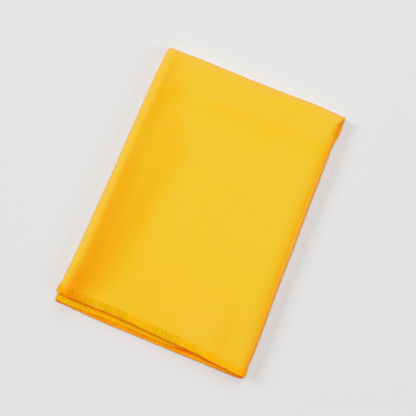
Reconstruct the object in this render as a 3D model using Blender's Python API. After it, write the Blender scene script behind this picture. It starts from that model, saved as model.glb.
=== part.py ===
"""Microfibre towel, folded in thirds across its width and then once in half.

The towel is one square sheet of cloth. Its section is a letter fold: an under
flap, a left fold, the face, a right fold and an inner flap. That section runs
along the length, turns round the crease at the back and comes back below itself,
so the stack is six plies of one sheet. X runs across the face, Y from the hems to
the crease, and Z up from the surface that the lowest ply lies on.
"""

import math
from typing import NamedTuple

import bpy
import numpy as np
from mathutils import Vector

# Driving sizes, in metres.
CLOTH_THICKNESS = 0.0010
PLY_PITCH = 0.0016           # middle of one ply to the middle of the next
FACE_WIDTH = 0.1365          # left fold to right fold, straight part
FOLDED_LENGTH = 0.1990       # lowest hem to the back of the crease
FLAP_CLEARANCE = 0.0060      # a flap's free edge to the fold that it lies in

# Where the plies lie, measured from the middle of the stack.
INNER_LEVEL = PLY_PITCH / 2
UNDER_LEVEL = INNER_LEVEL + PLY_PITCH
FACE_LEVEL = UNDER_LEVEL + PLY_PITCH
STACK_MIDDLE = FACE_LEVEL + CLOTH_THICKNESS / 2
CREASE_AXIS = FOLDED_LENGTH - FACE_LEVEL - CLOTH_THICKNESS / 2

# How the upper face stands off the plies below it.
FACE_PUFF = 0.0011           # air under the face
PUFF_RUN = 0.0110            # distance from the right fold over which it builds up
RIDGE_FLAT = 0.0045          # crown of the ridge that follows the left fold
RIDGE_STEEP_END = 0.0140     # foot of its steep inner slope
RIDGE_SLOW_END = 0.0420      # end of the long slope after it
RIDGE_STEEP_SHARE = 0.62     # share of the height lost on the steep slope
FOLD_ROUNDNESS = 0.85        # a fold's depth across, as a share of its half height

# Divisions.
FLAP_CUTS = 9
FOLD_CUTS = 6
RIDGE_CUTS = 7
SLOPE_CUTS = 3
MIDDLE_CUTS = 3
PUFF_CUTS = 4
LENGTH_CUTS = 13
CREASE_CUTS = 6

TOWEL_COLOUR = (0.86, 0.52, 0.035, 1.0)
TOWEL_ROUGHNESS = 0.92


class EdgeRow(NamedTuple):
    """Sideways shift of the folds at one distance from the lowest hem."""

    along: float
    upper_left: float
    upper_right: float
    lower_left: float
    lower_right: float


class LiftRow(NamedTuple):
    """Height of the left ridge and share of the puff at one distance."""

    along: float
    ridge: float
    puff: float


class HemRow(NamedTuple):
    """Distance of the cut edge from the lowest hem at one place of the section."""

    panel: str
    across: float
    upper: float
    lower: float


EDGE_ROWS = (
    EdgeRow(0.000, -0.0017, -0.0006, 0.0009, -0.0006),
    EdgeRow(0.008, -0.0017, -0.0002, 0.0004, -0.0002),
    EdgeRow(0.020, -0.0006, 0.0000, 0.0009, -0.0003),
    EdgeRow(0.060, 0.0000, 0.0000, 0.0010, -0.0004),
    EdgeRow(0.165, 0.0000, 0.0000, 0.0010, -0.0002),
    EdgeRow(0.182, 0.0000, 0.0000, 0.0006, 0.0016),
    EdgeRow(0.191, 0.0000, -0.0001, 0.0004, 0.0025),
    EdgeRow(0.199, 0.0003, -0.0009, 0.0003, 0.0027),
)

LIFT_ROWS = (
    LiftRow(0.000, 0.0032, 0.75),
    LiftRow(0.030, 0.0025, 1.00),
    LiftRow(0.080, 0.0019, 1.00),
    LiftRow(0.150, 0.0014, 1.00),
    LiftRow(0.186, 0.0009, 0.60),
    LiftRow(0.199, 0.0004, 0.20),
)

HEM_ROWS = (
    HemRow("under", 1.00, 0.0082, 0.0080),
    HemRow("under", 0.76, 0.0079, 0.0062),
    HemRow("under", 0.66, 0.0078, 0.0040),
    HemRow("under", 0.55, 0.0077, 0.0022),
    HemRow("under", 0.37, 0.0076, 0.0020),
    HemRow("under", 0.08, 0.0074, 0.0029),
    HemRow("under", 0.00, 0.0070, 0.0034),
    HemRow("face", 0.00, 0.0069, 0.0012),
    HemRow("face", 0.06, 0.0063, 0.0002),
    HemRow("face", 0.25, 0.0057, -0.0006),
    HemRow("face", 0.50, 0.0047, -0.0003),
    HemRow("face", 0.75, 0.0039, -0.0002),
    HemRow("face", 0.93, 0.0029, 0.0006),
    HemRow("face", 1.00, 0.0017, 0.0017),
    HemRow("inner", 1.00, 0.0024, 0.0024),
    HemRow("inner", 0.88, 0.0062, 0.0062),
    HemRow("inner", 0.00, 0.0082, 0.0084),
)

PANEL_ORDER = ("under", "left_fold", "face", "right_fold", "inner")
FLAPS = ("under", "inner")   # the section runs across these from right to left


class Station(NamedTuple):
    """A place on the section: its panel, and how far across that panel it is."""

    panel: str
    across: float


def clear_scene() -> None:
    """Remove every object that the file opened with."""
    for leftover in list(bpy.data.objects):
        bpy.data.objects.remove(leftover, do_unlink=True)


def ease(share: float) -> float:
    """Turn a share of 0 to 1 into one that starts and ends level."""
    share = min(max(share, 0.0), 1.0)
    return share * share * (3.0 - 2.0 * share)


def read_rows(rows: tuple, key: float, column: str) -> float:
    """Read a column of a table at any distance, eased between two rows."""
    for near, far in zip(rows, rows[1:]):
        if key <= far.along:
            share = ease((key - near.along) / (far.along - near.along))
            return getattr(near, column) * (1 - share) + getattr(far, column) * share
    return getattr(rows[-1], column)


def hem_place(station: Station) -> float:
    """Place of a station along the sheet, counted in panels, for the hem table."""
    passed = 1 - station.across if station.panel in FLAPS else station.across
    return PANEL_ORDER.index(station.panel) + passed


def hem_distance(station: Station, column: str) -> float:
    """Distance of the cut edge from the lowest hem at one station."""
    places = [hem_place(Station(row.panel, row.across)) for row in HEM_ROWS]
    values = [getattr(row, column) for row in HEM_ROWS]
    return float(np.interp(hem_place(station), places, values))


def face_lift(from_left: float, from_right: float, along: float) -> float:
    """Height of the upper face above its level, from the ridge and the puff."""
    steep = 1 - ease((from_left - RIDGE_FLAT) / (RIDGE_STEEP_END - RIDGE_FLAT))
    slow = 1 - ease((from_left - RIDGE_FLAT) / (RIDGE_SLOW_END - RIDGE_FLAT))
    ridge = read_rows(LIFT_ROWS, along, "ridge")
    puff = FACE_PUFF * read_rows(LIFT_ROWS, along, "puff")
    ridge_part = RIDGE_STEEP_SHARE * steep + (1 - RIDGE_STEEP_SHARE) * slow
    return ridge * ridge_part + puff * ease(from_right / PUFF_RUN)


def section_point(station: Station, along: float, turned: float) -> tuple:
    """Place of one station in the section.

    Args:
        station: the panel and how far across it.
        along: distance from the lowest hem.
        turned: 0 on the upper half, 1 on the lower half, between them in the crease.

    Returns:
        The place across the face, and the distance from the middle of the stack.
    """
    shift_left = (1 - turned) * read_rows(EDGE_ROWS, along, "upper_left")
    shift_left += turned * read_rows(EDGE_ROWS, along, "lower_left")
    shift_right = (1 - turned) * read_rows(EDGE_ROWS, along, "upper_right")
    shift_right += turned * read_rows(EDGE_ROWS, along, "lower_right")
    left = shift_left - FACE_WIDTH / 2 + CLOTH_THICKNESS / 2
    right = shift_right + FACE_WIDTH / 2 - CLOTH_THICKNESS / 2

    raised = 1 - turned
    left_top = FACE_LEVEL + raised * face_lift(0.0, FACE_WIDTH, along)
    left_half = (left_top - UNDER_LEVEL) / 2
    left_centre = left + FOLD_ROUNDNESS * left_half
    right_top = FACE_LEVEL + raised * face_lift(FACE_WIDTH, 0.0, along)
    right_half = (right_top - INNER_LEVEL) / 2
    right_centre = right - FOLD_ROUNDNESS * right_half

    if station.panel == "under":
        reach = right - FLAP_CLEARANCE - left_centre
        return left_centre + station.across * reach, UNDER_LEVEL
    if station.panel == "left_fold":
        angle = math.pi * station.across
        x = left_centre - FOLD_ROUNDNESS * left_half * math.sin(angle)
        return x, UNDER_LEVEL + left_half * (1 - math.cos(angle))
    if station.panel == "face":
        x = left_centre + station.across * (right_centre - left_centre)
        lift = face_lift(x - left_centre, right_centre - x, along)
        return x, FACE_LEVEL + raised * lift
    if station.panel == "right_fold":
        angle = math.pi * station.across
        x = right_centre + FOLD_ROUNDNESS * right_half * math.sin(angle)
        return x, INNER_LEVEL + right_half * (1 + math.cos(angle))
    reach = right_centre - left - FLAP_CLEARANCE
    return right_centre - (1 - station.across) * reach, INNER_LEVEL


def face_shares() -> list:
    """Cuts across the face, closer together on the ridge and by the right fold."""
    puff_start = FACE_WIDTH - PUFF_RUN
    ridge = np.linspace(0.0, RIDGE_STEEP_END, RIDGE_CUTS + 1)
    slope = np.linspace(RIDGE_STEEP_END, RIDGE_SLOW_END, SLOPE_CUTS + 1)[1:]
    middle = np.linspace(RIDGE_SLOW_END, puff_start, MIDDLE_CUTS + 1)[1:]
    puff = np.linspace(puff_start, FACE_WIDTH, PUFF_CUTS + 1)[1:]
    return [float(cut / FACE_WIDTH) for cut in (*ridge, *slope, *middle, *puff)]


def list_stations() -> list:
    """Stations from the under flap's free edge to the inner flap's free edge."""
    flap = [float(share) for share in np.linspace(0.0, 1.0, FLAP_CUTS)]
    fold = [float(share) for share in np.linspace(0.0, 1.0, FOLD_CUTS + 1)][1:-1]
    stations = [Station("under", share) for share in reversed(flap)]
    stations += [Station("left_fold", share) for share in fold]
    stations += [Station("face", share) for share in face_shares()]
    stations += [Station("right_fold", share) for share in fold]
    stations += [Station("inner", share) for share in reversed(flap)]
    return stations


def length_rows() -> list:
    """Rows of the sheet from the upper hems round the crease to the lower hems.

    Returns:
        Pairs of the share of the way from hem to crease, and the share of the turn.
    """
    shares = [float(share) for share in np.linspace(0.0, 1.0, LENGTH_CUTS)]
    upper = [(share, 0.0) for share in shares]
    crease = [(1.0, cut / CREASE_CUTS) for cut in range(1, CREASE_CUTS)]
    lower = [(share, 1.0) for share in reversed(shares)]
    return upper + crease + lower


def sheet_point(station: Station, share: float, turned: float) -> Vector:
    """Place of one point of the middle of the cloth."""
    upper_hem = hem_distance(station, "upper")
    lower_hem = hem_distance(station, "lower")
    hem = upper_hem if turned < 0.5 else lower_hem
    along = hem + share * (CREASE_AXIS - hem)
    x, out = section_point(station, along, turned)
    swing = math.pi * turned
    y = along + out * math.sin(swing) - FOLDED_LENGTH / 2
    return Vector((x, y, STACK_MIDDLE + out * math.cos(swing)))


def build_sheet() -> bpy.types.Object:
    """Lay out the middle of the folded cloth as one sheet of quads."""
    stations = list_stations()
    rows = length_rows()
    points = [sheet_point(station, *row) for row in rows for station in stations]
    wide = len(stations)
    faces = []
    for row in range(len(rows) - 1):
        for column in range(wide - 1):
            corner = row * wide + column
            faces.append((corner, corner + 1, corner + wide + 1, corner + wide))
    mesh = bpy.data.meshes.new("towel")
    mesh.from_pydata(points, [], faces)
    mesh.validate()
    towel = bpy.data.objects.new("towel", mesh)
    bpy.context.scene.collection.objects.link(towel)
    return towel


def give_thickness(towel: bpy.types.Object) -> None:
    """Thicken the sheet evenly on both its sides."""
    solidify = towel.modifiers.new("cloth thickness", "SOLIDIFY")
    solidify.thickness = CLOTH_THICKNESS
    solidify.offset = 0.0
    solidify.use_even_offset = True
    solidify.use_rim = True


def centre_on_base(towel: bpy.types.Object) -> None:
    """Move the cloth so that the middle of its whole outline is at the origin."""
    solid = towel.evaluated_get(bpy.context.evaluated_depsgraph_get())
    places = np.array([vertex.co for vertex in solid.to_mesh().vertices])
    solid.to_mesh_clear()
    middle = (places.min(axis=0) + places.max(axis=0)) / 2
    for vertex in towel.data.vertices:
        vertex.co -= Vector((middle[0], middle[1], 0.0))


def dress(towel: bpy.types.Object) -> None:
    """Give the cloth its own yellow material and smooth folds."""
    material = bpy.data.materials.new("yellow microfibre")
    material.use_nodes = True
    shader = material.node_tree.nodes["Principled BSDF"]
    shader.inputs["Base Color"].default_value = TOWEL_COLOUR
    shader.inputs["Roughness"].default_value = TOWEL_ROUGHNESS
    shader.inputs["Metallic"].default_value = 0.0
    towel.data.materials.append(material)
    towel.data.shade_smooth()


def main() -> None:
    """Build the folded towel."""
    clear_scene()
    towel = build_sheet()
    give_thickness(towel)
    centre_on_base(towel)
    dress(towel)


if __name__ == "__main__":
    main()
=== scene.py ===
"""Looks of the folded microfibre towel: its cloth, its overlocked hems, the light and the camera.

The towel is one square sheet, folded in thirds across its width and then once in half.
A point of the cloth is named by its place on the sheet: `place` counts the panels across
it, from 0 at the under flap's free edge to 5 at the inner flap's, and `way` counts along
it, from 0 at the upper hem, round the crease between 1 and 2, to 3 at the lower hem.

Lengths are in metres, except where a comment says millimetres.
"""

import logging
import math
from dataclasses import dataclass
from enum import Enum
from typing import Sequence

import bmesh
import bpy
import numpy as np
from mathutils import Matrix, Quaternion, Vector


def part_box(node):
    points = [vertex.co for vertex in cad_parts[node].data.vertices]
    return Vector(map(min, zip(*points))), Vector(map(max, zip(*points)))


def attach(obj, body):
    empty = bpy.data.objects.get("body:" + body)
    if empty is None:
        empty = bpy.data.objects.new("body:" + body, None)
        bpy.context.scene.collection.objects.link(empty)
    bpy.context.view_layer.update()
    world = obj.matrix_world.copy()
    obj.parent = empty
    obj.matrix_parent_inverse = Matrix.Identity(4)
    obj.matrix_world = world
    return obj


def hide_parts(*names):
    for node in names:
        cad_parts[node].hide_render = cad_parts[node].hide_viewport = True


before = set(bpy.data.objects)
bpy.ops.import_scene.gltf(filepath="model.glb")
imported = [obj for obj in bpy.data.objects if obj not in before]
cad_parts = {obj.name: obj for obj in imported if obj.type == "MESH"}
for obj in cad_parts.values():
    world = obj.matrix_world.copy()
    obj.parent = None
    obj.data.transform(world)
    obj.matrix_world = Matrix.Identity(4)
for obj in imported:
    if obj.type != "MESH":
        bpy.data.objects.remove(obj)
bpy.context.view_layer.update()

LOG = logging.getLogger("towel")
BODY = "root"
CLOTH_NODE = "towel"

UNDER, LEFT_FOLD, FACE, RIGHT_FOLD, INNER = range(5)
PANELS = 5                   # panels across the sheet, the two folds among them
CREASE_START = 1.0           # where the crease starts and ends, along the sheet
CREASE_MIDDLE = 1.5
CREASE_END = 2.0
SHEET_END = 3.0

FLAT_MAP = "flat"            # UV map of the sheet as it was cut
PAINTED_SHADE_MASK = "painted_shade_tone"        # painted shade: above 0 amber painted shade, below 0 painted light
PAINTED_SHEEN_MASK = "painted_sheen_tone"     # painted sheen above 0, painted dull shade below 0
SHADE_LINE_MASK = "painted_shade_line"         # millimetres inside a painted shade line between the layers
KNOT_MASK = "knotted"        # millimetres from the cut edge, where knots of yarn show
HEM_MASK = "hem_band"        # 1 on the cloth under the overlock
OPEN_DEPTH = 5.0             # millimetres outside a painted shade line that count as open cloth
MILLIMETRES = 1000           # in a metre
TINY = 1e-9                  # keeps a division from being one by zero

Colour = tuple[float, float, float, float]


# --------------------------------------------------------------------------- numbers


def table(kind: type, *entries: tuple) -> tuple:
    """Make a table's rows from plain tuples."""
    return tuple(kind(*entry) for entry in entries)


def smooth_read(rows: Sequence, key: np.ndarray, column: str = "value") -> np.ndarray:
    """Read a column of a table along a smooth curve that doesn't overshoot.

    Args:
        rows: the table, in rising order of `along`.
        key: the distances or places to read at.
        column: the name of the column.

    Returns:
        One value for each key, and the end rows' values outside the table.
    """
    known = np.array([row.along for row in rows])
    values = np.array([getattr(row, column) for row in rows])
    steps = np.diff(known)
    rises = np.diff(values) / steps
    slopes = np.zeros(len(rows))
    same_way = rises[:-1] * rises[1:] > 0
    mean = 2 * rises[:-1] * rises[1:] / np.where(same_way, rises[:-1] + rises[1:], 1.0)
    slopes[1:-1] = np.where(same_way, mean, 0.0)
    key = np.clip(np.asarray(key, float), known[0], known[-1])
    at = np.clip(np.searchsorted(known, key, side="right") - 1, 0, len(steps) - 1)
    share = (key - known[at]) / steps[at]
    start = values[at] * (1 + 2 * share) * (1 - share) ** 2
    end = values[at + 1] * share**2 * (3 - 2 * share)
    leave = slopes[at] * steps[at] * share * (1 - share) ** 2
    arrive = slopes[at + 1] * steps[at] * share**2 * (share - 1)
    return start + end + leave + arrive


def ease(share: np.ndarray) -> np.ndarray:
    """Turn shares of 0 to 1 into ones that start and end level."""
    share = np.clip(share, 0.0, 1.0)
    return share * share * (3.0 - 2.0 * share)


def waves(at: np.ndarray, lengths: Sequence[float], seed: int) -> np.ndarray:
    """Make an uneven wobble of about -1 to 1 from a few waves.

    Args:
        at: the places along the waves.
        lengths: the lengths of the waves.
        seed: the seed of their phases.

    Returns:
        The wobble at each place.
    """
    phases = np.random.default_rng(seed).uniform(0.0, math.tau, len(lengths))
    total = sum(np.sin(math.tau * at / size + turn) for size, turn in zip(lengths, phases))
    return total / len(lengths)


def cuts(start: float, end: float, count: int) -> np.ndarray:
    """Even cuts from a start on, without the end."""
    return np.linspace(start, end, count + 1)[:-1]


def unit(arrows: np.ndarray) -> np.ndarray:
    """Shorten or lengthen arrows to 1."""
    return arrows / np.maximum(np.linalg.norm(arrows, axis=-1, keepdims=True), TINY)


# --------------------------------------------------------------------------- tables


@dataclass(frozen=True)
class EdgeRow:
    """Sideways shift of the four folds at one distance from the lowest hem."""

    along: float
    upper_left: float
    upper_right: float
    lower_left: float
    lower_right: float


@dataclass(frozen=True)
class LiftRow:
    """Height of the left ridge, share of the puff, and width of the ridge's crown."""

    along: float
    ridge: float
    puff: float
    crown: float


@dataclass(frozen=True)
class ShadeRow:
    """How the painted shade runs across the upper face, at one distance from the lowest hem.

    The valley by the left fold gets amber painted shade: it deepens from `start` to `full`, has a
    `core` that fades out by `core_end`, and a `shelf` that fades between `shelf_start` and
    `shelf_end`. `rounding` widens the amber painted shade of the right fold, and `pale_sheen`
    is how strong the painted sheen on the left fold is.
    """

    along: float
    start: float
    full: float
    core: float
    core_end: float
    shelf: float
    shelf_start: float
    shelf_end: float
    rounding: float
    pale_sheen: float


@dataclass(frozen=True)
class ValueRow:
    """One value at one distance or place."""

    along: float
    value: float


EDGE_ROWS = table(
    EdgeRow,
    (0.000, -0.0019, -0.0008, -0.0015, -0.0003),
    (0.003, -0.0019, -0.0002, -0.0018, -0.0001),
    (0.0056, -0.0019, -0.0001, -0.0021, 0.0000),
    (0.0070, -0.0015, -0.0002, -0.0014, -0.0002),
    (0.0078, -0.0019, -0.0003, -0.0009, -0.0002),
    (0.0092, -0.0020, -0.0004, -0.0002, -0.0003),
    (0.0125, -0.0017, -0.0003, 0.0004, -0.0003),
    (0.016, -0.0012, -0.0001, 0.0006, -0.0004),
    (0.022, -0.0009, 0.0001, 0.0008, -0.0004),
    (0.030, -0.0006, 0.0001, 0.0009, -0.0004),
    (0.045, -0.0003, 0.0000, 0.0010, -0.0004),
    (0.070, -0.0002, -0.0003, 0.0010, -0.0004),
    (0.100, -0.0001, 0.0001, 0.0010, -0.0004),
    (0.125, -0.0003, -0.0001, 0.0010, -0.0004),
    (0.140, -0.0003, 0.0000, 0.0010, -0.0003),
    (0.165, -0.0003, 0.0001, 0.0010, 0.0001),
    (0.176, -0.0004, 0.0001, 0.0008, 0.0008),
    (0.182, -0.0002, -0.0001, 0.0006, 0.0018),
    (0.186, -0.0001, -0.0003, 0.0005, 0.0024),
    (0.190, 0.0001, -0.0004, 0.0004, 0.0026),
    (0.192, 0.0001, 0.0000, 0.0004, 0.0024),
    (0.194, 0.0001, 0.0010, 0.0004, 0.0022),
    (0.199, 0.0002, 0.0018, 0.0004, 0.0022),
)

LIFT_ROWS = table(
    LiftRow,
    (0.000, 0.0032, 0.75, 0.0035),
    (0.030, 0.0025, 1.00, 0.0040),
    (0.080, 0.0019, 1.00, 0.0045),
    (0.150, 0.0014, 1.00, 0.0050),
    (0.186, 0.0009, 0.60, 0.0055),
    (0.199, 0.0004, 0.20, 0.0055),
)

# Distance of the upper cut edge from the front, by the place across the sheet.
UPPER_HEM = table(
    ValueRow,
    (0.0, 0.0036), (0.25, 0.0052), (0.5, 0.0068), (0.7, 0.0077), (1.0, 0.0077), (2.0, 0.0074),
    (2.06, 0.0071), (2.125, 0.007), (2.25, 0.0071), (2.375, 0.0067), (2.44, 0.0062),
    (2.5, 0.0058), (2.56, 0.0055), (2.625, 0.0051), (2.69, 0.0047), (2.75, 0.0043),
    (2.81, 0.0034), (2.875, 0.0027), (2.93, 0.0022), (2.975, 0.0018), (3.0, 0.0017),
    (4.0, 0.003), (4.25, 0.0053), (4.5, 0.007), (4.75, 0.008), (5.0, 0.0082),
)

# The same for the lower cut edge.
LOWER_HEM = table(
    ValueRow,
    (0.0, 0.008), (0.15, 0.0068), (0.23, 0.0056), (0.26, 0.0049), (0.29, 0.0041),
    (0.323, 0.0033), (0.346, 0.0029), (0.42, 0.0025), (0.48, 0.0026), (0.54, 0.0028),
    (0.74, 0.0028), (0.846, 0.0025), (0.92, 0.0021), (0.97, 0.0022), (1.0, 0.0026),
    (2.0, 0.0015), (2.04, 0.0014), (2.09, 0.0011), (2.17, 0.0007), (2.22, 0.0004),
    (2.3, 0.00025), (2.36, 0.0003), (2.42, 0.0003), (2.5, 0.0002), (2.57, 0.00015),
    (2.65, 0.0001), (2.74, 0.0002), (2.78, 0.0003), (2.83, 0.0001), (2.87, 0.0001),
    (2.91, 0.0001), (2.96, 0.0001), (3.0, 0.0006), (4.0, 0.0024), (4.12, 0.0042),
    (4.25, 0.0056), (4.5, 0.0074), (4.75, 0.0082), (5.0, 0.0085),
)

# How far the crease stands out, by the distance from the left edge.
CREASE_PUSH = table(
    ValueRow,
    (0.0, 0.0005), (0.004, 0.0006), (0.015, 0.0008), (0.022, 0.0012), (0.03, 0.0011),
    (0.037, 0.0009), (0.052, 0.0009), (0.062, 0.0006), (0.09, 0.00065), (0.105, 0.0009),
    (0.114, 0.0011), (0.121, 0.0009), (0.127, 0.0005), (0.132, 0.0004), (0.137, 0.0003),
)

SHADE_ROWS = table(
    ShadeRow,
    (0.0000, -0.0010, 0.0070, 0.48, 0.019, 0.32, 0.013, 0.030, 0.60, 0.30),
    (0.0125, 0.0005, 0.0066, 0.44, 0.018, 0.37, 0.015, 0.030, 0.56, 0.45),
    (0.0200, 0.0008, 0.0076, 0.43, 0.022, 0.42, 0.019, 0.034, 0.60, 0.55),
    (0.0280, 0.0015, 0.0088, 0.24, 0.024, 0.50, 0.017, 0.040, 0.64, 0.68),
    (0.0400, 0.0024, 0.0090, 0.20, 0.026, 0.49, 0.018, 0.043, 0.74, 0.82),
    (0.0540, 0.0030, 0.0088, 0.20, 0.026, 0.46, 0.019, 0.046, 0.86, 0.92),
    (0.0780, 0.0034, 0.0086, 0.22, 0.025, 0.40, 0.025, 0.045, 0.97, 1.00),
    (0.1020, 0.0034, 0.0080, 0.24, 0.022, 0.31, 0.026, 0.050, 1.02, 1.00),
    (0.1260, 0.0034, 0.0076, 0.12, 0.015, 0.25, 0.031, 0.050, 1.00, 0.98),
    (0.1420, 0.0036, 0.0078, 0.24, 0.019, 0.21, 0.026, 0.046, 0.90, 0.90),
    (0.1580, 0.0040, 0.0078, 0.22, 0.017, 0.25, 0.013, 0.031, 0.90, 1.00),
    (0.1720, 0.0048, 0.0078, 0.14, 0.013, 0.23, 0.018, 0.029, 0.76, 0.92),
    (0.1840, 0.0046, 0.0086, 0.24, 0.016, 0.02, 0.012, 0.024, 0.45, 0.80),
    (0.1920, 0.0055, 0.0092, 0.11, 0.015, 0.00, 0.010, 0.020, 0.25, 0.85),
    (0.1970, 0.0055, 0.0092, 0.00, 0.014, 0.00, 0.010, 0.020, 0.12, 0.95),
)

# Painted sheen on the left fold, by the distance from where the face starts.
PALE_SHEEN_ACROSS = table(
    ValueRow,
    (-0.003, 0.9), (-0.0015, 0.7), (0.0, 0.41), (0.0015, 0.28), (0.003, 0.18), (0.0055, 0.0),
)

# Amber painted shade in the round of the right fold, by the distance from it.
ROUND_SHADE_ACROSS = table(
    ValueRow,
    (0.0, 0.76), (0.0011, 0.68), (0.0022, 0.55), (0.0032, 0.36), (0.0052, 0.17), (0.0073, 0.07),
    (0.0098, 0.0),
)

# Painted sheen beside the right fold, by the distance from it.
SIDE_SHEEN_ACROSS = table(
    ValueRow,
    (0.0, 0.3), (0.0012, 0.16), (0.003, 0.0),
)

# Amber painted shade over the whole face, by the distance from the lowest hem.
FACE_SHADE = table(
    ValueRow,
    (0.0, 0.15), (0.013, 0.13), (0.02, 0.1), (0.028, 0.1), (0.034, 0.09), (0.046, 0.07),
    (0.062, 0.04), (0.078, 0.01), (0.102, 0.0), (0.15, 0.0), (0.164, 0.03), (0.172, 0.05),
    (0.19, 0.05), (0.195, 0.09), (0.1975, 0.28), (0.199, 0.44),
)

# Painted sheen over the whole face, below 0 painted dull shade, by the distance from the lowest
# hem.
FACE_SHEEN = table(
    ValueRow,
    (0.012, 0.0), (0.15, 0.0), (0.169, -0.06), (0.171, -0.05), (0.1735, 0.08), (0.178, 0.07),
    (0.184, 0.05), (0.19, 0.11), (0.1935, 0.25), (0.1955, 0.45), (0.197, 0.64), (0.1985, 0.86),
)

WRINKLE_WAVES = (0.011, 0.0067)     # lengths of the uneven stretches along a wrinkle
WRINKLE_UNEVEN = 0.35
WRINKLE_SEEDS = 1e5                 # a wrinkle's length times this seeds its waves


@dataclass(frozen=True)
class Wrinkle:
    """A soft line pressed into the upper face, or standing up from it.

    Its ends are measured from the left edge and from the lowest hem, and `bow` is how far
    its middle stands off to the right of the straight way from the start to the end. The
    line is `rise` high; along it `depth` shifts the painted shade and `painted_sheen`
    the painted sheen, which below 0 is a painted dull shade.
    """

    start: tuple[float, float]
    end: tuple[float, float]
    bow: float
    width: float
    rise: float
    depth: float
    painted_sheen: float
    taper: float = 0.35

    def strength(self, across: np.ndarray, along: np.ndarray) -> np.ndarray:
        """Strength of the line at points of the face.

        Args:
            across: distances from the left edge.
            along: distances from the lowest hem.

        Returns:
            About 1 on the middle of the line, and 0 away from it.
        """
        run, climb = self.end[0] - self.start[0], self.end[1] - self.start[1]
        length = math.hypot(run, climb)
        over, up = across - self.start[0], along - self.start[1]
        share = (over * run + up * climb) / length**2
        aside = (over * climb - up * run) / length - self.bow * 4 * share * (1 - share)
        ends = ease(share / self.taper) * ease((1 - share) / self.taper)
        wobble = waves(share * length, WRINKLE_WAVES, int(length * WRINKLE_SEEDS))
        return np.exp(-((aside / self.width) ** 2)) * ends * (1 + WRINKLE_UNEVEN * wobble)


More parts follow.
